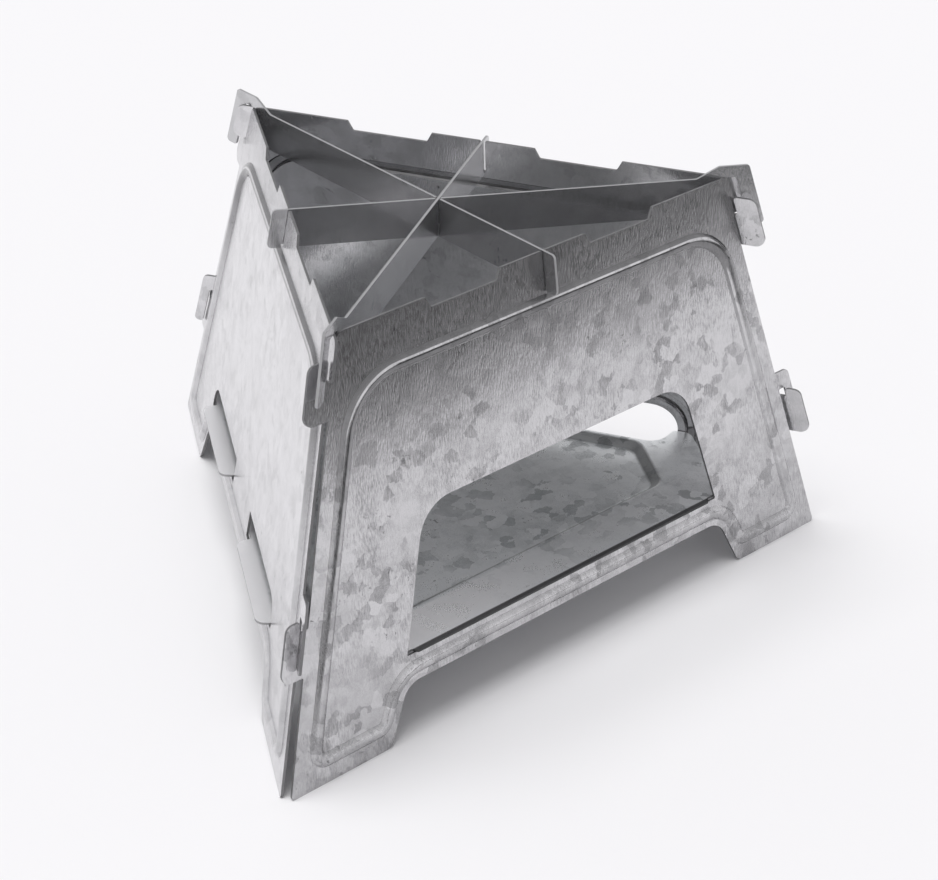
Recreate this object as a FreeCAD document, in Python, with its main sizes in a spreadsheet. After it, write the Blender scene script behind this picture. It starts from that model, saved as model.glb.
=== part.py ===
import FreeCAD, Part
import math
import os

# Portable fire pit of interlocking galvanised sheet: three leaning walls hooked together at the
# corners, a base plate carried by the walls, and three grate blades that cross over the fire.
# Frame: millimetres, +Z up, floor at Z = 0, front wall towards -Y, origin on the floor at the
# middle of the pit's plan box.

DIMENSIONS = {
    # the leaning triangle of outer faces
    "base_side": 300.0,
    "top_side": 203.0,
    "rise": 167.0,
    "sheet": 1.0,
    # clearances
    "joint_gap": 0.35,
    "slide_gap": 0.5,
    "seat_gap": 0.02,
    # wall outline
    "edge_gap_foot": 4.5,
    "foot_inner": 97.0,
    "foot_batter": 10.5,
    "foot_round": 4.0,
    "foot_edge_round": 1.5,
    "arch_rise": 22.5,
    "arch_round": 10.0,
    "strip_height": 11.5,
    "rim_step": 4.4,
    "rim_middle": 22.0,
    "rim_end": 58.5,
    "rim_chamfer": 2.2,
    "rim_round": 3.5,
    "notch_round": 0.8,
    "sharp_round": 0.5,
    "rim_slot_depth": 14.5,
    # corner hooks on the left edge, ears on the right edge
    "hook_height": 22.0,
    "top_hook_drop": 8.7,
    "top_hook_neck": 14.0,
    "top_hook_reach": 9.3,
    "low_hook": 46.5,
    "low_hook_neck": 18.0,
    "low_hook_reach": 6.8,
    "hook_top_round": 3.5,
    "hook_low_round": 4.0,
    "finger_round": 1.2,
    "ear_reach": 4.5,
    "ear_height": 26.0,
    "ear_neck": 7.8,
    "ear_lift": 4.0,
    "ear_tip_round": 1.8,
    "ear_top_round": 3.0,
    "top_ear_reach": 5.6,
    "top_ear_seat": 0.8,
    "top_ear_round": 3.5,
    # stiffening bead
    "bead_width": 6.0,
    "bead_height": 1.6,
    "bead_step": 0.04,
    "bead_round": 3.2,
    "groove_inset": 1.3,
    "groove_chamfer": 0.7,
    "bead_edge": 9.7,
    "bead_clear": 0.9,
    "bead_foot": 9.5,
    "bead_foot_round": 5.0,
    "bead_shoulder": 26.0,
    # openings in the walls
    "window_half": 85.0,
    "window_height": 57.0,
    "window_round": 17.0,
    "slot_inner": 20.0,
    "slot_outer": 86.0,
    "slot_height": 11.5,
    "slot_corner": 1.5,
    "vent_half": 85.5,
    "vent_flare": 11.5,
    "vent_shoulder": 24.6,
    "vent_shoulder_round": 6.0,
    "vent_rise": 47.5,
    "vent_round": 11.5,
    # base plate
    "plate_shoulder": 9.3,
    "plate_round": 5.0,
    "front_tab_gap": 5.0,
    "front_tab_reach": 1.0,
    "front_tab_round": 1.0,
    "tab_inner_gap": 6.0,
    "tab_outer_gap": 4.0,
    "tab_reach": 5.0,
    "tab_round": 4.0,
    "tab_flare": 1.5,
    "cut_lip": 7.3,
    "cut_flare": 4.0,
    "cut_lip_round": 2.0,
    "cut_margin": 1.0,
    "cut_round": 9.0,
    "pan_front": 60.0,
    "pan_rear": 66.0,
    "pan_corner": 96.0,
    "pan_depth": 3.0,
    "pan_batter": 3.0,
    "pan_round": 7.0,
    "pan_bend": 2.5,
    # grate blades
    "saddle_drop": 1.6,
    "tail_length": 5.6,
    "tail_round": 1.8,
    "arch_lift": 4.8,
    "arch_run": 9.0,
    "leg_offset": 3.8,
    "leg_width": 6.4,
    "leg_drop": 26.0,
    "leg_round": 1.5,
    "bridge_round": 2.0,
    "blade_round": 1.0,
}

doc = FreeCAD.newDocument("fire_pit")
dims = doc.addObject("Spreadsheet::Sheet", "dims")
for row, (alias, value) in enumerate(DIMENSIONS.items(), start=1):
    dims.set(f"A{row}", alias)
    dims.set(f"B{row}", str(value))
    dims.setAlias(f"B{row}", alias)
doc.recompute()


def dim(alias):
    return float(dims.get(alias))


# Outer faces: apothems of the triangle at the floor and at the rim, and the lean of the walls.
SHEET = dim("sheet")
RISE = dim("rise")
FOOT_APOTHEM = dim("base_side") / (2 * math.sqrt(3))
RIM_APOTHEM = dim("top_side") / (2 * math.sqrt(3))
LEAN = math.atan2(FOOT_APOTHEM - RIM_APOTHEM, RISE)
SLOPE = RISE / math.cos(LEAN)

# Two neighbouring walls meet at this dihedral angle. A sheet that crosses its neighbour's plane
# takes up CROSSING of that plane, measured from the corner line.
DIHEDRAL = math.acos(0.5 * math.cos(LEAN) ** 2 - math.sin(LEAN) ** 2)
CROSSING = SHEET * (1 + math.cos(DIHEDRAL)) / math.sin(DIHEDRAL)
JOINT_GAP = dim("joint_gap")
EDGE_GAP_TOP = CROSSING + JOINT_GAP

WALL_TURN = {"front_wall": 0.0, "left_wall": -120.0, "back_wall": 120.0}

# The plan box runs from the front wall's foot to the two rear feet.
FOOT_HALF = dim("base_side") / 2 - dim("edge_gap_foot")
REAR_REACH = FOOT_APOTHEM * 0.5 + FOOT_HALF * math.sqrt(3) / 2
SHIFT_Y = (FOOT_APOTHEM - REAR_REACH) / 2


def corner_half(v):
    """Half width of the outer face at slope height v, out to the corner line."""
    return (dim("base_side") + (dim("top_side") - dim("base_side")) * v / SLOPE) / 2


def edge_half(v):
    """Half width of the wall's own sheet at slope height v."""
    rim_half = dim("top_side") / 2 - EDGE_GAP_TOP
    return FOOT_HALF + (rim_half - FOOT_HALF) * v / SLOPE


def outer_apothem(z):
    return FOOT_APOTHEM - z * math.tan(LEAN)


def inner_apothem(z):
    return outer_apothem(z) - SHEET / math.cos(LEAN)


def corner_radius(z):
    return 2 * outer_apothem(z)


# Outlines are closed lists of corners (x, y, radius), taken counter-clockwise.
def unit(a, b):
    length = math.hypot(b[0] - a[0], b[1] - a[1])
    return (b[0] - a[0]) / length, (b[1] - a[1]) / length


def turn_at(before, here, after):
    ax, ay = unit(before, here)
    bx, by = unit(here, after)
    return math.atan2(ax * by - ay * bx, ax * bx + ay * by)


def rounded(corners):
    """Lines and tangent arcs of a closed outline."""
    count = len(corners)
    ends = []
    edges = []
    for i, (x, y, radius) in enumerate(corners):
        before = corners[i - 1]
        after = corners[(i + 1) % count]
        turn = turn_at(before, (x, y), after)
        if radius <= 0 or abs(turn) < 1e-6:
            ends.append(((x, y), (x, y)))
            continue
        setback = radius * math.tan(abs(turn) / 2)
        ux, uy = unit(before, (x, y))
        wx, wy = unit((x, y), after)
        first = (x - ux * setback, y - uy * setback)
        last = (x + wx * setback, y + wy * setback)
        side = math.copysign(1, turn)
        centre = FreeCAD.Vector(first[0] - uy * radius * side, first[1] + ux * radius * side, 0)
        start = math.atan2(first[1] - centre.y, first[0] - centre.x)
        stop = math.atan2(last[1] - centre.y, last[0] - centre.x)
        if side < 0:
            start, stop = stop, start
        circle = Part.Circle(centre, FreeCAD.Vector(0, 0, 1), radius)
        edges.append(Part.ArcOfCircle(circle, start, stop))
        ends.append((first, last))
    for i in range(count):
        a = ends[i][1]
        b = ends[(i + 1) % count][0]
        ux, uy = unit(corners[i], corners[(i + 1) % count])
        run = (b[0] - a[0]) * ux + (b[1] - a[1]) * uy
        if run < -1e-6:
            raise ValueError(f"corner radii do not fit between {corners[i]} and {corners[(i + 1) % count]}")
        if run > 1e-6:
            edges.append(Part.LineSegment(FreeCAD.Vector(*a, 0), FreeCAD.Vector(*b, 0)))
    return edges


def offset(corners, distance):
    """The same outline moved outwards by distance, its round corners staying concentric."""
    count = len(corners)
    moved = []
    for i, (x, y, radius) in enumerate(corners):
        before = corners[i - 1]
        after = corners[(i + 1) % count]
        ax, ay = unit(before, (x, y))
        bx, by = unit((x, y), after)
        turn = turn_at(before, (x, y), after)
        reach = distance / (1 + ax * bx + ay * by)
        nx = (ay + by) * reach
        ny = -(ax + bx) * reach
        grown = radius + math.copysign(distance, turn * distance)
        moved.append((x + nx, y + ny, max(grown, 0.0)))
    return moved


def mirrored(corners):
    """Both halves of an outline given by its right half, from bottom to top."""
    return corners + [(-x, y, radius) for x, y, radius in reversed(corners)]


def origin_plane(body, role):
    return next(f for f in body.Origin.OriginFeatures if f.Role == role)


def add_sketch(body, name, role, outlines, lift=0.0):
    sketch = body.newObject("Sketcher::SketchObject", name)
    sketch.AttachmentSupport = [(origin_plane(body, role), "")]
    sketch.MapMode = "FlatFace"
    sketch.AttachmentOffset = FreeCAD.Placement(FreeCAD.Vector(0, 0, lift), FreeCAD.Rotation())
    for outline in outlines:
        sketch.addGeometry(rounded(outline), False)
    return sketch


def add_pad(body, name, sketch, length, back=False):
    pad = body.newObject("PartDesign::Pad", name)
    pad.Profile = sketch
    pad.setExpression("Length", length)
    pad.Reversed = back
    doc.recompute()
    if not body.Shape.isValid():
        raise RuntimeError(f"{name} is not a valid solid")
    return pad


def add_pocket(body, name, sketch, length, back=False):
    before = body.Shape.Volume
    pocket = body.newObject("PartDesign::Pocket", name)
    pocket.Profile = sketch
    pocket.setExpression("Length", length)
    pocket.Reversed = back
    doc.recompute()
    if not body.Shape.Volume < before - 1e-3:
        raise RuntimeError(f"{name} removes nothing")
    return pocket


def new_body(name):
    body = doc.addObject("PartDesign::Body", name)
    body.Label = name
    return body


# Walls, drawn flat: x along the wall, y up the slope, z out of the outer face.
HOOK_HEIGHT = dim("hook_height")
TOP_HOOK = SLOPE - dim("top_hook_drop") - HOOK_HEIGHT
SILL = dim("arch_rise") + dim("strip_height")
NOTCH_ROUND = dim("notch_round")
SHARP_ROUND = dim("sharp_round")


def hook(low, neck, reach):
    """Left-edge hook, from its top to its bottom: a notch open upwards behind a round finger."""
    top = low + HOOK_HEIGHT
    notch = low + neck
    return [
        (-edge_half(notch), notch, NOTCH_ROUND),
        (-corner_half(notch) - JOINT_GAP, notch, NOTCH_ROUND),
        (-corner_half(top) - JOINT_GAP, top, dim("finger_round")),
        (-corner_half(top) - reach, top, dim("hook_top_round")),
        (-corner_half(low) - reach, low, dim("hook_low_round")),
        (-edge_half(low), low, NOTCH_ROUND),
    ]


def ear():
    """Right-edge ear, from its bottom to its top: a notch open downwards behind a finger."""
    notch = dim("low_hook") + dim("low_hook_neck") + dim("ear_lift")
    top = notch + dim("ear_neck")
    tip = top - dim("ear_height")
    reach = dim("ear_reach")
    return [
        (edge_half(notch), notch, NOTCH_ROUND),
        (corner_half(notch) + JOINT_GAP, notch, NOTCH_ROUND),
        (corner_half(tip) + JOINT_GAP, tip, dim("finger_round")),
        (corner_half(tip) + reach, tip, dim("ear_tip_round")),
        (corner_half(top) + reach, top, dim("ear_top_round")),
        (edge_half(top), top, NOTCH_ROUND),
    ]


def rim():
    """Top edge from right to left: high ends and middle, lower stretches, the blade's slot."""
    high = SLOPE
    low = SLOPE - dim("rim_step")
    end = dim("rim_end")
    middle = dim("rim_middle")
    chamfer = dim("rim_chamfer")
    slot = SHEET / 2 + dim("slide_gap")
    floor = SLOPE - dim("rim_slot_depth")
    right = [
        (end, high, SHARP_ROUND),
        (end - chamfer, low, NOTCH_ROUND),
        (middle + chamfer, low, NOTCH_ROUND),
        (middle, high, SHARP_ROUND),
        (slot, high, SHARP_ROUND),
        (slot, floor, 0.0),
    ]
    return right + [(-x, y, radius) for x, y, radius in reversed(right)]


def wall_outline(underside):
    reach = dim("top_ear_reach")
    ear_low = TOP_HOOK + dim("top_hook_neck") + dim("top_ear_seat")
    right = [
        (FOOT_HALF, 0.0, dim("foot_edge_round")),
        *ear(),
        (edge_half(ear_low), ear_low, NOTCH_ROUND),
        (corner_half(ear_low) + reach, ear_low, dim("top_ear_round")),
        (corner_half(SLOPE) + reach, SLOPE, dim("rim_round")),
    ]
    left = [
        (-edge_half(SLOPE), SLOPE, dim("rim_round")),
        *hook(TOP_HOOK, dim("top_hook_neck"), dim("top_hook_reach")),
        *hook(dim("low_hook"), dim("low_hook_neck"), dim("low_hook_reach")),
        (-FOOT_HALF, 0.0, dim("foot_edge_round")),
    ]
    return underside + right + rim() + left


def foot_side(v):
    return dim("foot_inner") - dim("foot_batter") * v / dim("arch_rise")


def low_arch():
    """Underside between the feet of the front and left walls, from left to right."""
    rise = dim("arch_rise")
    half = [(dim("foot_inner"), 0.0, dim("foot_round")), (foot_side(rise), rise, dim("arch_round"))]
    return [(-x, y, radius) for x, y, radius in half] + half[::-1]


def vent_arch():
    """Underside of the back wall, raised into a wide vent, from left to right."""
    half_width = dim("vent_half")
    half = [
        (half_width + dim("vent_flare"), 0.0, dim("foot_round")),
        (half_width, dim("vent_shoulder"), dim("vent_shoulder_round")),
        (half_width, dim("vent_rise"), dim("vent_round")),
    ]
    return [(-x, y, radius) for x, y, radius in half] + half[::-1]


def bead_loop(underside):
    """Centre line of the bead: up both edges, across under the rim, round the feet."""
    low = dim("bead_foot")
    top = SLOPE - dim("rim_slot_depth") - dim("saddle_drop") - dim("bead_clear") - dim("bead_width") / 2
    inset = dim("bead_edge")
    right = [
        (edge_half(low) - inset, low, dim("bead_foot_round")),
        (edge_half(top) - inset, top, dim("bead_shoulder")),
    ]
    left = [(-x, y, radius) for x, y, radius in reversed(right)]
    above = offset(underside, -dim("strip_height") / 2)
    half = len(above) // 2
    inner = above[:half]
    first = inner[0]
    second = inner[1]
    run = (low - first[1]) / (second[1] - first[1])
    inner[0] = (first[0] + (second[0] - first[0]) * run, low, dim("bead_foot_round"))
    return inner + [(-x, y, radius) for x, y, radius in reversed(inner)] + right + left


def window():
    top = SILL + dim("window_height")
    half = dim("window_half")
    narrow = half - (edge_half(SILL) - edge_half(top))
    return mirrored([(half, SILL, SHARP_ROUND), (narrow, top, dim("window_round"))])


def tab_slot(side):
    top = SILL + dim("slot_height")
    near = dim("slot_inner")
    far = dim("slot_outer")
    corners = [
        (near, SILL, SHARP_ROUND),
        (far, SILL, SHARP_ROUND),
        (far, top, dim("slot_height") - dim("slot_corner")),
        (near, top, SHARP_ROUND),
    ]
    if side > 0:
        return corners
    return [(-x, y, radius) for x, y, radius in reversed(corners)]


WALL_OPENINGS = {
    "front_wall": [window()],
    "left_wall": [tab_slot(-1), tab_slot(1)],
    "back_wall": [],
}


def edges_at(shape, level, climb=None):
    """Names of the edges flat at one height, or only those of faces that climb from it to another."""
    if climb is None:
        wanted = shape.Edges
    else:
        wanted = []
        for face in shape.Faces:
            heights = [vertex.Z for vertex in face.Vertexes]
            if abs(min(heights) - level) < 1e-4 and abs(max(heights) - climb) < 1e-4:
                wanted += face.Edges
    names = []
    for number, edge in enumerate(shape.Edges, start=1):
        flat = all(abs(vertex.Z - level) < 1e-4 for vertex in edge.Vertexes)
        if flat and any(edge.isSame(other) for other in wanted):
            names.append(f"Edge{number}")
    return names


def side_edges(shape, low, high):
    """Names of the level edges of the faces that run from one height to another."""
    sides = []
    for face in shape.Faces:
        heights = [vertex.Z for vertex in face.Vertexes]
        if abs(min(heights) - low) < 1e-4 and abs(max(heights) - high) < 1e-4:
            sides += face.Edges
    names = []
    for number, edge in enumerate(shape.Edges, start=1):
        level = abs(edge.Vertexes[0].Z - edge.Vertexes[-1].Z) < 1e-4
        if level and any(edge.isSame(other) for other in sides):
            names.append(f"Edge{number}")
    return names


def build_wall(name):
    body = new_body(name)
    underside = vent_arch() if name == "back_wall" else low_arch()
    blank = add_sketch(body, name + "_blank", "XY_Plane", [wall_outline(underside)] + WALL_OPENINGS[name])
    add_pad(body, name + "_sheet", blank, "dims.sheet", back=True)

    # Stamped bead: a ridge with sloping sides and a round crest on the outer face, and a
    # matching groove behind it.
    loop = bead_loop(underside)
    half = dim("bead_width") / 2
    crest = dim("bead_height")
    ring_outline = [offset(loop, half), offset(loop, -half)]
    ridge = add_sketch(body, name + "_ridge_ring", "XY_Plane", ring_outline)
    stamped = add_pad(body, name + "_ridge", ridge, "dims.bead_height")
    sides = body.newObject("PartDesign::Chamfer", name + "_ridge_sides")
    sides.Base = (stamped, edges_at(stamped.Shape, crest))
    sides.setExpression("Size", "dims.bead_height - dims.bead_step")
    doc.recompute()
    rounding = body.newObject("PartDesign::Fillet", name + "_ridge_round")
    rounding.Base = (sides, edges_at(sides.Shape, crest))
    rounding.setExpression("Radius", "dims.bead_round")
    doc.recompute()
    hollow = half - dim("groove_inset")
    hollow_outline = [offset(loop, hollow), offset(loop, -hollow)]
    groove_sketch = add_sketch(body, name + "_groove_ring", "XY_Plane", hollow_outline, lift=-SHEET)
    groove = add_pocket(body, name + "_groove", groove_sketch, "dims.bead_height", back=True)
    mouth = body.newObject("PartDesign::Chamfer", name + "_groove_mouth")
    mouth.Base = (groove, edges_at(groove.Shape, -SHEET, crest - SHEET))
    mouth.setExpression("Size", "dims.groove_chamfer")
    doc.recompute()

    # The leaning sheet is cut level under the feet so that the pit stands flat.
    level = add_sketch(body, name + "_level_wedge", "YZ_Plane", [[
        (0.0, 0.0, 0),
        (-2 * SHEET, 0.0, 0),
        (-2 * SHEET, -2 * SHEET, 0),
        (2 * SHEET * math.tan(LEAN), -2 * SHEET, 0),
    ]])
    before = body.Shape.Volume
    trim = body.newObject("PartDesign::Pocket", name + "_level")
    trim.Profile = level
    trim.setExpression("Length", "2 * dims.base_side")
    trim.Midplane = True
    doc.recompute()
    if not body.Shape.Volume < before:
        raise RuntimeError(f"{name} feet are not levelled")

    stand = FreeCAD.Placement(
        FreeCAD.Vector(0, -FOOT_APOTHEM, 0),
        FreeCAD.Rotation(FreeCAD.Vector(1, 0, 0), 90 - math.degrees(LEAN)),
    )
    swing = FreeCAD.Placement(
        FreeCAD.Vector(0, SHIFT_Y, 0),
        FreeCAD.Rotation(FreeCAD.Vector(0, 0, 1), WALL_TURN[name]),
    )
    body.Placement = swing.multiply(stand)
    return body


# Base plate, drawn about the pit's axis in plan.
PLATE_Z = SILL * math.cos(LEAN) + dim("seat_gap")
PLATE_TOP = PLATE_Z + SHEET
PLATE_APOTHEM = inner_apothem(PLATE_TOP) - JOINT_GAP


def side_point(turn, along, apothem, radius):
    """A plan corner given along one side: turn 0 is the front, seen from outside."""
    angle = math.radians(turn)
    x = along * math.cos(angle) + apothem * math.sin(angle)
    y = along * math.sin(angle) - apothem * math.cos(angle)
    return x, y, radius


def mirrored_side(half):
    """A whole side from its right half, taken from left to right."""
    return [(-along, apothem, radius) for along, apothem, radius in reversed(half)] + half


def ring(lines, radius):
    """Plan outline inside straight sides, each given by its facing angle and its distance."""
    points = []
    for i, (angle, distance) in enumerate(lines):
        next_angle, next_distance = lines[(i + 1) % len(lines)]
        a = math.radians(angle)
        b = math.radians(next_angle)
        spread = math.sin(b - a)
        x = (distance * math.sin(b) - next_distance * math.sin(a)) / spread
        y = (next_distance * math.cos(a) - distance * math.cos(b)) / spread
        points.append((x, y, radius))
    return points


def plate_outline():
    apothem = PLATE_APOTHEM
    front_reach = outer_apothem(PLATE_TOP) + dim("front_tab_reach")
    left_reach = outer_apothem(PLATE_TOP) + dim("tab_reach")
    front_half = dim("window_half") - dim("front_tab_gap")
    near = dim("slot_inner") + dim("tab_inner_gap")
    far = dim("slot_outer") - dim("tab_outer_gap")
    along = max(front_half, far) + dim("plate_shoulder")
    cut_half = along - dim("cut_lip")
    cut_apothem = dim("pan_rear") + dim("cut_margin")
    corner = (along, apothem, dim("plate_round"))
    flare = dim("tab_flare")
    tab_round = dim("tab_round")
    front = mirrored_side([
        (front_half, front_reach, dim("front_tab_round")),
        (front_half + flare, apothem, SHARP_ROUND),
        corner,
    ])
    back = mirrored_side([
        (cut_half - dim("cut_flare"), cut_apothem, dim("cut_round")),
        (cut_half, apothem, dim("cut_lip_round")),
        corner,
    ])
    left = mirrored_side([
        (near - flare, apothem, SHARP_ROUND),
        (near, left_reach, tab_round),
        (far, left_reach, tab_round),
        (far + flare, apothem, SHARP_ROUND),
        corner,
    ])
    points = []
    for turn, side in ((0, front), (120, back), (240, left)):
        points += [side_point(turn, *spot) for spot in side]
    return points


def build_plate():
    body = new_body("base_plate")
    blank = add_sketch(body, "plate_blank", "XY_Plane", [plate_outline()])
    add_pad(body, "plate_sheet", blank, "dims.sheet")

    # Shallow pan pressed into the middle: the pressed block, then its hollow.
    depth = dim("pan_depth")

    def pan_sketch(name, shrink, lift):
        front = dim("pan_front") - shrink
        rear = dim("pan_rear") - shrink
        corner = dim("pan_corner") - shrink
        sides = [(-90, front), (-30, corner), (30, rear), (90, corner), (150, rear), (210, corner)]
        return add_sketch(body, name, "XY_Plane", [ring(sides, dim("pan_round"))], lift=lift)

    batter = dim("pan_batter")
    under = pan_sketch("pan_under_rim", 0.0, 0.0)
    under_floor = pan_sketch("pan_under_floor", batter, -depth)
    pressed = body.newObject("PartDesign::AdditiveLoft", "pan_pressed")
    pressed.Profile = under
    pressed.Sections = [under_floor]
    pressed.Ruled = True
    doc.recompute()
    before = body.Shape.Volume
    mouth = pan_sketch("pan_mouth", SHEET, SHEET)
    floor = pan_sketch("pan_floor", SHEET + batter, SHEET - depth)
    hollow = body.newObject("PartDesign::SubtractiveLoft", "pan_hollow")
    hollow.Profile = mouth
    hollow.Sections = [floor]
    hollow.Ruled = True
    doc.recompute()
    if not body.Shape.Volume < before:
        raise RuntimeError("the pan is not hollow")

    # The press leaves round bends above and below the pan's sides.
    bends = body.newObject("PartDesign::Fillet", "pan_bends")
    bends.Base = (hollow, side_edges(hollow.Shape, SHEET - depth, SHEET))
    bends.setExpression("Radius", "dims.pan_bend")
    doc.recompute()
    body.Placement = FreeCAD.Placement(FreeCAD.Vector(0, SHIFT_Y, PLATE_Z), FreeCAD.Rotation())
    return body


# Grate blades, drawn on edge: x from the axis towards the wall whose rim slot it rests in, y up.
SLOT_FLOOR = (SLOPE - dim("rim_slot_depth")) * math.cos(LEAN)
SADDLE = SLOT_FLOOR + dim("seat_gap")
BLADE_LOW = SADDLE - dim("saddle_drop")
BLADE_TOP = RISE
BLADE_DEPTH = BLADE_TOP - BLADE_LOW
LAP_HALF = SHEET * (1 / math.sin(math.pi / 3) + 1 / math.tan(math.pi / 3)) / 2 + JOINT_GAP
LAP_GAP = JOINT_GAP / 2

# Each blade keeps one third of its depth at the crossing: the low, the middle or the top third.
BLADE_TURN = {"blade_low": -90.0, "blade_middle": 150.0, "blade_top": 30.0}
BLADE_THIRD = {"blade_low": 0, "blade_middle": 1, "blade_top": 2}


def blade_outline(third):
    slide = dim("slide_gap")
    tail_low = outer_apothem(BLADE_LOW) + slide + dim("tail_length")
    tail_top = outer_apothem(BLADE_TOP) + slide + dim("tail_length")
    notch_out = outer_apothem(BLADE_LOW) + slide
    notch_in = inner_apothem(SADDLE) - slide
    tail_round = dim("tail_round")
    # the corner end stops inside the walls, bridges over them and drops a leg outside
    bridge = RISE + dim("seat_gap")
    bridge_top = BLADE_TOP + dim("arch_lift")
    corner = corner_radius(RISE)
    half_angle = DIHEDRAL / 2
    inside = corner - (SHEET + JOINT_GAP) / math.sin(half_angle) - SHEET / math.tan(half_angle) / 2
    leg_low = bridge_top - dim("leg_drop")
    leg_in = corner + dim("leg_offset")
    leg_out = leg_in + dim("leg_width")
    drift = corner_radius(leg_low) - corner_radius(bridge)
    lift_drift = corner_radius(bridge_top) - corner_radius(bridge)
    leg_round = dim("leg_round")
    step_foot = corner - dim("leg_offset") - dim("arch_run")
    lap_low = BLADE_LOW + BLADE_DEPTH * third / 3
    lap_top = BLADE_LOW + BLADE_DEPTH * (third + 1) / 3
    corners = [(-inside, BLADE_LOW, dim("blade_round"))]
    if third > 0:
        lap_low += LAP_GAP
        corners += [
            (-LAP_HALF, BLADE_LOW, 0.0),
            (-LAP_HALF, lap_low, 0.0),
            (LAP_HALF, lap_low, 0.0),
            (LAP_HALF, BLADE_LOW, 0.0),
        ]
    corners += [
        (notch_in, BLADE_LOW, 0.0),
        (notch_in, SADDLE, 0.0),
        (notch_out, SADDLE, 0.0),
        (notch_out, BLADE_LOW, 0.0),
        (tail_low, BLADE_LOW, tail_round),
        (tail_top, BLADE_TOP, tail_round),
    ]
    if third < 2:
        lap_top -= LAP_GAP
        corners += [
            (LAP_HALF, BLADE_TOP, 0.0),
            (LAP_HALF, lap_top, 0.0),
            (-LAP_HALF, lap_top, 0.0),
            (-LAP_HALF, BLADE_TOP, 0.0),
        ]
    corners += [
        (-step_foot, BLADE_TOP, dim("bridge_round")),
        (-step_foot - dim("arch_run"), bridge_top, dim("bridge_round")),
        (-leg_out - lift_drift, bridge_top, leg_round),
        (-leg_out - drift, leg_low, leg_round),
        (-leg_in - drift, leg_low, leg_round),
        (-leg_in, bridge, NOTCH_ROUND),
        (-inside, bridge, NOTCH_ROUND),
    ]
    return corners


def build_blade(name):
    body = new_body(name)
    strip = add_sketch(body, name + "_strip", "XZ_Plane", [blade_outline(BLADE_THIRD[name])])
    pad = body.newObject("PartDesign::Pad", name + "_sheet")
    pad.Profile = strip
    pad.setExpression("Length", "dims.sheet")
    pad.Midplane = True
    doc.recompute()
    body.Placement = FreeCAD.Placement(
        FreeCAD.Vector(0, SHIFT_Y, 0),
        FreeCAD.Rotation(FreeCAD.Vector(0, 0, 1), BLADE_TURN[name]),
    )
    return body


pieces = [build_wall(name) for name in WALL_TURN]
pieces.append(build_plate())
pieces += [build_blade(name) for name in BLADE_TURN]

doc.recompute()
for item in doc.Objects:
    if "Invalid" in item.State or "Error" in item.State:
        raise RuntimeError(f"{item.Label} failed: {item.State}")
for piece in pieces:
    shape = piece.Shape
    if shape.isNull() or not shape.isValid() or len(shape.Solids) != 1:
        raise RuntimeError(f"{piece.Label} is not one valid solid")

os.makedirs("parts", exist_ok=True)
for piece in pieces:
    piece.Shape.exportStep(f"parts/{piece.Label}.step")
    box = piece.Shape.BoundBox
    print(
        f"{piece.Label}: {piece.Shape.Volume:.0f} mm3, "
        f"X {box.XMin:.1f} {box.XMax:.1f}, Y {box.YMin:.1f} {box.YMax:.1f}, Z {box.ZMin:.2f} {box.ZMax:.2f}"
    )
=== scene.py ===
import math
from collections import namedtuple

import bpy
from mathutils import Matrix, Vector

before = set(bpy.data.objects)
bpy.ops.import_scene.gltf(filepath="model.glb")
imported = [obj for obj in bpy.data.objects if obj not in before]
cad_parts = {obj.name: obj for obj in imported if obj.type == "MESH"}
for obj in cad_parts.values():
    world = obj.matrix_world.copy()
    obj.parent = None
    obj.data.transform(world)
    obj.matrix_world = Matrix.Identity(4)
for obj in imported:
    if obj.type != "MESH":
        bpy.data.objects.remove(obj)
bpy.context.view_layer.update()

# The pit's upright axis in the frame, and how far its three walls lean inwards.
AXIS = (0.0, -0.04135, 0.0)
LEAN = math.radians(9.5)
STRAIGHT_UP = Vector((0.0, 0.0, 1.0))

# The way each upright sheet is turned about the axis: a wall faces -Y and a blade lies along X at 0.
WALL_TURN = {"front_wall": 0.0, "left_wall": -120.0, "back_wall": 120.0}
BLADE_TURN = {"blade_low": 90.0, "blade_middle": 150.0, "blade_top": 30.0}

# Where the photograph was taken from, as a 938 by 880 picture.
CAMERA_PLACE = Vector((-0.56055, -0.65897, 0.56072))
CAMERA_FORWARD = Vector((0.58644, 0.62417, -0.51623))
CAMERA_ROLL = math.radians(1.53)
CAMERA_LENS = 90.96
CAMERA_CLIP_START = 0.01
SENSOR_WIDTH = 36.0

# Colours as linear light. Each piece has sound zinc, its darker patches and its bare cut edge, then the
# strength of its rolling marks and that of its crystals.
Coat = namedtuple("Coat", "light dark edge combing spangle")
STEEL_EDGE = (0.15, 0.15, 0.153, 1.0)
BLADE_COAT = Coat(
    (0.60, 0.60, 0.61, 1.0), (0.40, 0.40, 0.406, 1.0), (0.42, 0.42, 0.428, 1.0), 0.25, 0.4
)
# The walls are one zinc; their different tones are painted light and shade, the front wall's darker and the
# left and back walls' lighter.
COATS = {
    "front_wall": Coat((0.64, 0.635, 0.648, 1.0), (0.33, 0.328, 0.336, 1.0), STEEL_EDGE, 0.7, 1.0),
    "left_wall": Coat((0.725, 0.72, 0.733, 1.0), (0.50, 0.497, 0.508, 1.0), STEEL_EDGE, 0.6, 0.6),
    "back_wall": Coat((0.73, 0.725, 0.738, 1.0), (0.46, 0.458, 0.467, 1.0), STEEL_EDGE, 0.4, 0.7),
    # The base plate's edge colour is painted shade, for its bends and the shadowed gap along its front
    # edge.
    "base_plate": Coat(
        (0.80, 0.818, 0.829, 1.0), (0.36, 0.377, 0.387, 1.0), (0.07, 0.07, 0.072, 1.0), 0.4, 1.2
    ),
    "blade_low": BLADE_COAT,
    "blade_middle": BLADE_COAT,
    "blade_top": BLADE_COAT,
}
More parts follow.
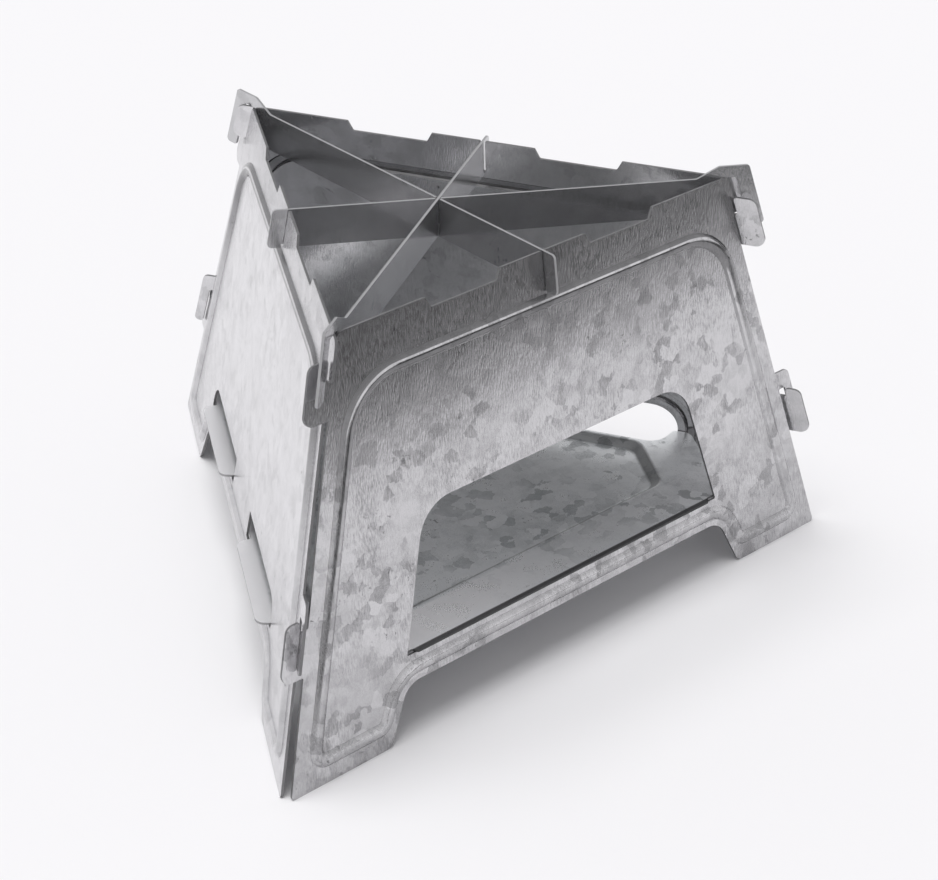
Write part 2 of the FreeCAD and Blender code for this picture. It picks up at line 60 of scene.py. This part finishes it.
# Painted light on the base plate's front lip and left tabs.
LIT_ZINC_PAINT = (0.94, 0.935, 0.948, 1.0)
STAIN = (0.12, 0.12, 0.123, 1.0)
# Painted shade along the walls' beads.
BEAD_SHADE_PAINT = (0.07, 0.07, 0.072, 1.0)

# Each sheet has a stretch of the pattern of its own, found by this shift along it.
PATTERN_SHIFT = {
    "front_wall": (0.0, 0.0, 0.0),
    "left_wall": (0.83, 0.0, 0.41),
    "back_wall": (1.71, 0.0, 0.95),
    "base_plate": (2.6, 0.3, 0.0),
    "blade_low": (3.3, 0.0, 0.2),
    "blade_middle": (4.1, 0.0, 0.6),
    "blade_top": (5.2, 0.0, 0.1),
}

# Zinc is made of layers of noise. A layer passes from its first strength to its second over a range of the
# noise, and together they say how far a point is from the light tone to the dark. Rolling marks and
# crystals come in areas. The marks run up and down a wall or a blade, and every way on the plate.
NOISE_MIDDLE = (0.30, 0.70)
MIDDLE_SHADE = 0.18
UPRIGHT_COMB = (1.0, 1.0, 0.16)
PLATE_COMB = (1.0, 1.0, 1.0)
COMB_AREAS = (0.36, 0.62)
COMB_STRENGTH = (0.06, 0.40)
UPRIGHT_CLOUDS = 0.12
PLATE_CLOUDS = 0.24
PATCH_RANGE = (0.34, 0.70)
PATCH_SHADE = (-0.14, 0.16)
GRAIN_SHADE = 0.09
CRYSTAL_AREAS = (0.36, 0.54)
CRYSTAL_STRENGTH = (0.06, 0.46)
BLOT_RANGE = (0.70, 0.78)
GLINT_RANGE = (0.72, 0.80)
GLINT_SHARE = 0.6
STAIN_RANGE = (0.61, 0.68)
STAIN_AREAS = (0.60, 0.70)
STAIN_SHARE = 0.75

# Polish: the roughness along the rolling marks, and what shade and dullness add to it. The relief is that
# of the rolling marks with waves in the sheet, this many times as high.
POLISH = (0.13, 0.20)
SHADE_ROUGHNESS = 0.12
DULL_ROUGHNESS = 0.35
WAVE_HEIGHT = 2.0

# Cut edges: how far a point has turned from the sheet's face, and how much of the edge's colour it takes.
EDGE_FACING = (0.62, 0.45)
EDGE_SHARE = 0.8

# Walls: painted shade, darker below the first height, and from the second up to the rim by a share for each
# wall.
FOOT_SHADE_HEIGHT = 0.085
FOOT_SHADE_PAINT = 0.28
TOP_SHADE_HEIGHT = 0.115
RIM_HEIGHT = 0.170
TOP_SHADE_PAINT = {"front_wall": 0.0, "left_wall": 1.0, "back_wall": 0.1}

# Beads on the walls: painted shade, for dark reflections, from the first depth through the sheet or where
# they turn from its face, more so higher up. From the second depth they keep a bright line, where they face
# one way on the sheet.
BEAD_DEPTH = -0.0856
BEAD_FACING = (0.9985, 0.96)
CREST_DEPTH = -0.0863
CREST_FADE = 0.0002
LINE_TOWARDS = Vector((-0.5, 0.0, 0.866))
LINE_START = (0.06, 0.13)
LINE_END = (0.36, 0.28)
BEAD_SHADE_FACING = (0.60, 0.68)
BEAD_SHADE_HEIGHT = (0.05, 0.14)
BEAD_SHADE_SHARE = (0.10, 0.75)

# Base plate: painted light on its left tabs and on its front lip, more to the left, and a painted shadow
# along its front edge. Each begins at its reach from the axis and fades in. The pressed bends have painted
# shade.
LIP_REACH = 0.0605
LIP_FADE = 0.0012
LIP_ALONG = (0.02, -0.07)
LIP_SHARE = (0.2, 0.95)
TAB_REACH = 0.0765
TAB_FADE = 0.003
FRONT_SHADOW_REACH = 0.0795
FRONT_SHADOW_FADE = 0.0006
FRONT_SHADOW_SHARE = 0.95
BEND_FACING = (0.998, 0.90)
BEND_SHADE_SHARE = 0.65
PLATE_DULLNESS = 0.55

# The studio: a pale floor, and a room that is white at eye level and greyer overhead, and gives matt
# surfaces less light. The lamp has the direction that it shines from, its strength and its width.
FLOOR_WHITE = (0.875, 0.868, 0.882, 1.0)
FLOOR_REACH = 6.0
HORIZON = (0.94, 0.935, 0.95, 1.0)
OVERHEAD = (0.72, 0.72, 0.73, 1.0)
OVERHEAD_HEIGHT = (0.35, 0.85)
MATT_LIGHT = 0.55
LAMP_TOWARDS = Vector((-0.18, 0.16, 0.97))
LAMP_STRENGTH = 2.1
LAMP_WIDTH = math.radians(45.0)

# A dark sheet on the floor in front of the pit that only the metal reflects. It darkens the front wall's
# upper part: the line where it starts to fade in, at two places, and the depth of the fade.
CARD_GREY = (0.03, 0.03, 0.03, 1.0)
CARD_NEAR = ((0.10, -0.370), (0.50, -0.445))
CARD_FADE = 0.15
CARD_REACH = 3.0
CARD_LIFT = 0.001


class Nodes:
    """Short calls that add nodes to one material and link them."""

    def __init__(self, tree):
        self.tree = tree
        self.tree.nodes.clear()

    def put(self, kind, inputs, **settings):
        node = self.tree.nodes.new(kind)
        for key, value in settings.items():
            setattr(node, key, value)
        for key, value in inputs.items():
            socket = node.inputs[key]
            if isinstance(value, bpy.types.NodeSocket):
                self.tree.links.new(value, socket)
            else:
                socket.default_value = value
        return node

    def maths(self, operation, first, second=0.0):
        node = self.put("ShaderNodeMath", {0: first, 1: second}, operation=operation)
        return node.outputs[0]

    def span(self, value, low, high, start=0.0, end=1.0):
        """The value's place between low and high, eased, as a number from start to end."""
        node = self.put(
            "ShaderNodeMapRange",
            {"Value": value, "From Min": low, "From Max": high, "To Min": start, "To Max": end},
            interpolation_type="SMOOTHSTEP",
        )
        return node.outputs["Result"]

    def tint(self, factor, first, second):
        node = self.put("ShaderNodeMix", {0: factor, 6: first, 7: second}, data_type="RGBA")
        return node.outputs[2]

    def vector(self, operation, first, second):
        node = self.put("ShaderNodeVectorMath", {0: first, 1: second}, operation=operation)
        return node.outputs[0]

    def dot(self, first, second):
        node = self.put("ShaderNodeVectorMath", {0: first, 1: second}, operation="DOT_PRODUCT")
        return node.outputs["Value"]

    def parts(self, vector):
        return self.put("ShaderNodeSeparateXYZ", {0: vector}).outputs

    def noise(self, vector, scale, detail=2.0, roughness=0.5):
        """A soft noise, its scale in waves to the metre."""
        node = self.put(
            "ShaderNodeTexNoise",
            {"Vector": vector, "Scale": scale, "Detail": detail, "Roughness": roughness},
        )
        return node.outputs["Fac"]

    def crystals(self, vector, scale):
        """Two random numbers for each cell of a pattern, its scale in cells to the metre."""
        cells = self.put("ShaderNodeTexVoronoi", {"Vector": vector, "Scale": scale})
        numbers = self.put("ShaderNodeSeparateColor", {0: cells.outputs["Color"]})
        return numbers.outputs[0], numbers.outputs[1]

    def wobble(self, vector, scale, reach):
        """The vector pushed about by a soft noise, by up to about reach metres."""
        noise = self.put("ShaderNodeTexNoise", {"Vector": vector, "Scale": scale, "Detail": 3.0})
        centred = self.vector("SUBTRACT", noise.outputs["Color"], (0.5, 0.5, 0.5))
        shift = self.put("ShaderNodeVectorMath", {0: centred, "Scale": 2.0 * reach}, operation="SCALE")
        return self.vector("ADD", vector, shift.outputs[0])


def sheet_place(nodes, turn, lean):
    """Coordinates on a sheet, in metres: along it, through it, and up it from the floor."""
    coordinates = nodes.put("ShaderNodeTexCoord", {})
    mapping = nodes.put(
        "ShaderNodeMapping",
        {
            "Vector": coordinates.outputs["Object"],
            "Location": AXIS,
            "Rotation": (-lean, 0.0, math.radians(turn)),
        },
        vector_type="TEXTURE",
    )
    return mapping.outputs["Vector"]


def sheet_turn(turn, lean):
    """Turns a direction on a sheet into one of the frame."""
    return Matrix.Rotation(math.radians(turn), 3, "Z") @ Matrix.Rotation(-lean, 3, "X")


def sheet_normal(turn, lean):
    """The outward normal of a wall, or the side of a blade."""
    return sheet_turn(turn, lean) @ Vector((0.0, -1.0, 0.0))


def reach_out(nodes, place, turn):
    """How far a point lies from the axis towards one wall."""
    return nodes.dot(place, sheet_normal(turn, 0.0))


def facing_along(nodes, direction):
    """How squarely a point faces along a direction, from -1 to 1."""
    return nodes.dot(nodes.put("ShaderNodeNewGeometry", {}).outputs["Normal"], direction)


def facing_share(nodes, face):
    """How squarely a point faces out of its sheet, on either side: 1 on the flat, 0 on a cut edge."""
    return nodes.maths("ABSOLUTE", facing_along(nodes, face))


def scaled(pair, factor):
    return [value * factor for value in pair]


def zinc(nodes, place, coat, comb_stretch, cloud_shade, painted_shading):
    """Colour of zinc-coated sheet, and how dark and how finely combed it is at each point."""
    clouds = nodes.noise(place, scale=24.0, detail=4.0, roughness=0.55)
    patch_place = nodes.wobble(place, scale=210.0, reach=0.0045)
    patches = nodes.noise(patch_place, scale=120.0, detail=4.0, roughness=0.6)
    crystal_place = nodes.wobble(place, scale=420.0, reach=0.0016)
    first, second = nodes.crystals(crystal_place, scale=190.0)
    crystal_areas = nodes.noise(place, scale=30.0)
    comb_place = nodes.vector("MULTIPLY", nodes.wobble(place, scale=70.0, reach=0.0010), comb_stretch)
    comb = nodes.noise(comb_place, scale=2200.0, roughness=0.55)
    comb_areas = nodes.noise(place, scale=41.0)
    grain = nodes.noise(place, scale=1900.0, detail=3.0, roughness=0.6)

    comb_strength = nodes.span(comb_areas, *COMB_AREAS, *scaled(COMB_STRENGTH, coat.combing))
    combed = nodes.maths("MULTIPLY", nodes.span(comb, *NOISE_MIDDLE, -1.0, 1.0), comb_strength)
    shade = nodes.maths("ADD", combed, nodes.span(clouds, *NOISE_MIDDLE, -cloud_shade, cloud_shade))
    shade = nodes.maths("ADD", shade, nodes.span(patches, *PATCH_RANGE, *PATCH_SHADE))
    shade = nodes.maths("ADD", shade, nodes.span(grain, *NOISE_MIDDLE, -GRAIN_SHADE, GRAIN_SHADE))
    crystal_strength = nodes.span(crystal_areas, *CRYSTAL_AREAS, *scaled(CRYSTAL_STRENGTH, coat.spangle))
    blots = nodes.maths("MULTIPLY", nodes.span(first, *BLOT_RANGE), crystal_strength)
    # The last input adds painted shade to the zinc's darkness.
    shade = nodes.maths("ADD", shade, nodes.maths("ADD", blots, painted_shading))
    glints = nodes.maths("MULTIPLY", nodes.span(second, *GLINT_RANGE, 0.0, GLINT_SHARE), crystal_strength)
    shade = nodes.maths("SUBTRACT", shade, glints)
    colour = nodes.tint(nodes.maths("ADD", shade, MIDDLE_SHADE), coat.light, coat.dark)

    stain_place = nodes.wobble(place, scale=420.0, reach=0.002)
    stains = nodes.noise(stain_place, scale=520.0, detail=3.0, roughness=0.55)
    stain_strength = nodes.span(nodes.noise(place, scale=52.0), *STAIN_AREAS, 0.0, STAIN_SHARE)
    stain = nodes.maths("MULTIPLY", nodes.span(stains, *STAIN_RANGE), stain_strength)
    return nodes.tint(stain, colour, STAIN), shade, comb


def finish(nodes, place, colour, shade, comb, dull):
    """The surface itself: streaked polish and faint relief, and less polish where it is dull."""
    polish = nodes.span(comb, *NOISE_MIDDLE, *POLISH)
    roughness = nodes.maths("ADD", polish, nodes.maths("MULTIPLY", shade, SHADE_ROUGHNESS))
    roughness = nodes.maths("ADD", roughness, nodes.maths("MULTIPLY", dull, DULL_ROUGHNESS))
    waves = nodes.noise(place, scale=48.0)
    relief = nodes.maths("ADD", comb, nodes.maths("MULTIPLY", waves, WAVE_HEIGHT))
    bump = nodes.put("ShaderNodeBump", {"Height": relief, "Strength": 0.12, "Distance": 0.0004})
    shader = nodes.put(
        "ShaderNodeBsdfPrincipled",
        {
            "Base Color": colour,
            "Metallic": 0.88,
            "Roughness": roughness,
            "Normal": bump.outputs["Normal"],
        },
    )
    nodes.put("ShaderNodeOutputMaterial", {"Surface": shader.outputs["BSDF"]})


def start_finish(node):
    """An empty finish for one node, named after it."""
    material = bpy.data.materials.new(node + "_zinc")
    material.use_nodes = True
    return material, Nodes(material.node_tree)


def bare_edges(nodes, facing, colour, coat):
    """The colour with the sheet's bare cut edges, and where those edges are."""
    cut_edge = nodes.span(facing, *EDGE_FACING)
    return nodes.tint(nodes.maths("MULTIPLY", cut_edge, EDGE_SHARE), colour, coat.edge), cut_edge


def painted_bead_shade(nodes, turn, facing, through, height):
    """How much painted shade a wall's beads take, apart from their bright line and the sheet's cut edges.
    """
    raised = nodes.span(through, BEAD_DEPTH, CREST_DEPTH)
    bead = nodes.maths("MAXIMUM", nodes.span(facing, *BEAD_FACING), raised)
    tilt = facing_along(nodes, sheet_turn(turn, LEAN) @ LINE_TOWARDS)
    line = nodes.maths("MULTIPLY", nodes.span(tilt, *LINE_START), nodes.span(tilt, *LINE_END))
    line = nodes.maths("MULTIPLY", line, nodes.span(through, CREST_DEPTH + CREST_FADE, CREST_DEPTH))
    bead_dark = nodes.maths("MULTIPLY", bead, nodes.span(facing, *BEAD_SHADE_FACING))
    bead_dark = nodes.maths("MULTIPLY", bead_dark, nodes.maths("SUBTRACT", 1.0, line))
    return nodes.maths("MULTIPLY", bead_dark, nodes.span(height, *BEAD_SHADE_HEIGHT, *BEAD_SHADE_SHARE))


def wall_finish(node, turn):
    """Finish of a wall: painted shade near the ground, at the rim and along its beads."""
    coat = COATS[node]
    material, nodes = start_finish(node)
    own_place = sheet_place(nodes, turn, LEAN)
    place = nodes.vector("ADD", own_place, PATTERN_SHIFT[node])
    _, through, height = nodes.parts(own_place)
    # Painted shade: darker near the ground, and on some walls towards the rim.
    foot_shade = nodes.span(height, FOOT_SHADE_HEIGHT, 0.0, 0.0, FOOT_SHADE_PAINT)
    top_shade = nodes.span(height, TOP_SHADE_HEIGHT, RIM_HEIGHT, 0.0, TOP_SHADE_PAINT[node])
    painted_shading = nodes.maths("ADD", foot_shade, top_shade)
    colour, shade, comb = zinc(nodes, place, coat, UPRIGHT_COMB, UPRIGHT_CLOUDS, painted_shading)
    facing = facing_share(nodes, sheet_normal(turn, LEAN))
    # Painted shade along the beads, where dark reflections run.
    colour = nodes.tint(painted_bead_shade(nodes, turn, facing, through, height), colour, BEAD_SHADE_PAINT)
    colour, cut_edge = bare_edges(nodes, facing, colour, coat)
    finish(nodes, place, colour, shade, comb, cut_edge)
    return material


def blade_finish(node, turn):
    """Finish of a blade, with bare cut edges."""
    coat = COATS[node]
    material, nodes = start_finish(node)
    place = nodes.vector("ADD", sheet_place(nodes, turn, 0.0), PATTERN_SHIFT[node])
    colour, shade, comb = zinc(nodes, place, coat, UPRIGHT_COMB, UPRIGHT_CLOUDS, 0.0)
    facing = facing_share(nodes, sheet_normal(turn, 0.0))
    colour, cut_edge = bare_edges(nodes, facing, colour, coat)
    finish(nodes, place, colour, shade, comb, cut_edge)
    return material


def plate_finish(node):
    """Finish of the base plate: cloudy, with painted shade on its bends and along its front edge, and
    painted light on the front lip and left tabs.
    """
    coat = COATS[node]
    material, nodes = start_finish(node)
    own_place = sheet_place(nodes, 0.0, 0.0)
    place = nodes.vector("ADD", own_place, PATTERN_SHIFT[node])
    marbled = nodes.wobble(place, scale=60.0, reach=0.0025)
    colour, shade, comb = zinc(nodes, marbled, coat, PLATE_COMB, PLATE_CLOUDS, 0.0)
    along = nodes.parts(own_place)[0]
    to_front = reach_out(nodes, own_place, WALL_TURN["front_wall"])
    to_left = reach_out(nodes, own_place, WALL_TURN["left_wall"])
    # Painted light on the front lip, more to the left, and on the left tabs.
    lit_lip = nodes.span(to_front, LIP_REACH, LIP_REACH + LIP_FADE)
    lit_lip = nodes.maths("MULTIPLY", lit_lip, nodes.span(along, *LIP_ALONG, *LIP_SHARE))
    lit_tabs = nodes.span(to_left, TAB_REACH, TAB_REACH + TAB_FADE)
    colour = nodes.tint(nodes.maths("MAXIMUM", lit_lip, lit_tabs), colour, LIT_ZINC_PAINT)
    # Painted shade on the pressed bends, in the plate's edge colour.
    bends = nodes.span(facing_share(nodes, STRAIGHT_UP), *BEND_FACING)
    colour = nodes.tint(nodes.maths("MULTIPLY", bends, BEND_SHADE_SHARE), colour, coat.edge)
    # Painted shadow of the gap between the plate's front edge and the front wall's sill.
    front_shadow = nodes.span(to_front, FRONT_SHADOW_REACH, FRONT_SHADOW_REACH + FRONT_SHADOW_FADE)
    colour = nodes.tint(nodes.maths("MULTIPLY", front_shadow, FRONT_SHADOW_SHARE), colour, coat.edge)
    dull = nodes.maths("MAXIMUM", nodes.maths("MAXIMUM", bends, lit_tabs), PLATE_DULLNESS)
    finish(nodes, place, colour, shade, comb, dull)
    return material


def dress(node, material):
    """Gives a node its finish, in each of its slots."""
    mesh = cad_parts[node].data
    for index in range(len(mesh.materials)):
        mesh.materials[index] = material


def make_sheet(name, material_name, corners):
    """A flat sheet with four corners, and the nodes of its empty material."""
    mesh = bpy.data.meshes.new(name)
    mesh.from_pydata(corners, [], [(0, 1, 2, 3)])
    sheet = bpy.data.objects.new(name, mesh)
    bpy.context.scene.collection.objects.link(sheet)
    material = bpy.data.materials.new(material_name)
    material.use_nodes = True
    mesh.materials.append(material)
    return sheet, Nodes(material.node_tree)


def make_floor():
    """A wide pale floor under the pit."""
    reach = FLOOR_REACH
    corners = [(-reach, -reach, 0.0), (reach, -reach, 0.0), (reach, reach, 0.0), (-reach, reach, 0.0)]
    floor, nodes = make_sheet("floor", "floor_white", corners)
    shader = nodes.put(
        "ShaderNodeBsdfPrincipled",
        {"Base Color": FLOOR_WHITE, "Roughness": 0.9, "Specular IOR Level": 0.0},
    )
    nodes.put("ShaderNodeOutputMaterial", {"Surface": shader.outputs["BSDF"]})


def make_card():
    """A dark sheet just above the floor that is seen only in the metal, and fades in from its near line."""
    (x0, y0), (x1, y1) = CARD_NEAR
    reach = CARD_REACH
    lift = CARD_LIFT
    near = max(y0, y1) + CARD_FADE
    corners = [(-reach, near, lift), (-reach, -reach, lift), (reach, -reach, lift), (reach, near, lift)]
    card, nodes = make_sheet("floor_card", "floor_card", corners)
    card.visible_camera = False
    card.visible_diffuse = False
    card.visible_transmission = False
    card.visible_shadow = False
    spot = nodes.put("ShaderNodeTexCoord", {}).outputs["Object"]
    rise = (y1 - y0) / (x1 - x0)
    start = rise * x0 - y0
    solid = nodes.span(nodes.dot(spot, (rise, -1.0, 0.0)), start, start + CARD_FADE)
    clear = nodes.put("ShaderNodeBsdfTransparent", {}).outputs[0]
    dark = nodes.put("ShaderNodeBsdfDiffuse", {"Color": CARD_GREY}).outputs[0]
    shader = nodes.put("ShaderNodeMixShader", {0: solid, 1: clear, 2: dark})
    nodes.put("ShaderNodeOutputMaterial", {"Surface": shader.outputs[0]})


def make_world():
    """The room's light: full where it is seen or mirrored, and less on matt surfaces."""
    world = bpy.data.worlds.new("studio")
    world.use_nodes = True
    bpy.context.scene.world = world
    nodes = Nodes(world.node_tree)
    direction = nodes.put("ShaderNodeTexCoord", {}).outputs["Generated"]
    height = nodes.parts(direction)[2]
    colour = nodes.tint(nodes.span(height, *OVERHEAD_HEIGHT), HORIZON, OVERHEAD)
    rays = nodes.put("ShaderNodeLightPath", {}).outputs
    seen = nodes.maths("MAXIMUM", rays["Is Camera Ray"], rays["Is Glossy Ray"])
    seen = nodes.maths("MAXIMUM", seen, rays["Is Transmission Ray"])
    strength = nodes.span(seen, 0.0, 1.0, MATT_LIGHT, 1.0)
    background = nodes.put("ShaderNodeBackground", {"Color": colour, "Strength": strength})
    nodes.put("ShaderNodeOutputWorld", {"Surface": background.outputs[0]})


def make_lamp():
    """A far soft lamp that leaves no glare in the metal."""
    lamp = bpy.data.lights.new("key", "SUN")
    lamp.energy = LAMP_STRENGTH
    lamp.angle = LAMP_WIDTH
    lamp_object = bpy.data.objects.new("key", lamp)
    lamp_object.rotation_euler = (-LAMP_TOWARDS).to_track_quat("-Z", "Y").to_euler()
    lamp_object.visible_glossy = False
    bpy.context.scene.collection.objects.link(lamp_object)


def make_camera():
    """The photograph's own camera, turned by its small roll."""
    forward = CAMERA_FORWARD.normalized()
    level = forward.cross(STRAIGHT_UP).normalized()
    upright = level.cross(forward)
    right = level * math.cos(CAMERA_ROLL) + upright * math.sin(CAMERA_ROLL)
    up = upright * math.cos(CAMERA_ROLL) - level * math.sin(CAMERA_ROLL)
    camera = bpy.data.cameras.new("camera")
    camera.sensor_fit = "HORIZONTAL"
    camera.sensor_width = SENSOR_WIDTH
    camera.lens = CAMERA_LENS
    camera.clip_start = CAMERA_CLIP_START
    camera_object = bpy.data.objects.new("camera", camera)
    turn = Matrix((right, up, -forward)).transposed().to_4x4()
    camera_object.matrix_world = Matrix.Translation(CAMERA_PLACE) @ turn
    bpy.context.scene.collection.objects.link(camera_object)
    bpy.context.scene.camera = camera_object


for wall, wall_turn in WALL_TURN.items():
    dress(wall, wall_finish(wall, wall_turn))
for blade, blade_turn in BLADE_TURN.items():
    dress(blade, blade_finish(blade, blade_turn))
dress("base_plate", plate_finish("base_plate"))
make_floor()
make_card()
make_world()
make_lamp()
make_camera()
bpy.context.scene.view_settings.view_transform = "Standard"
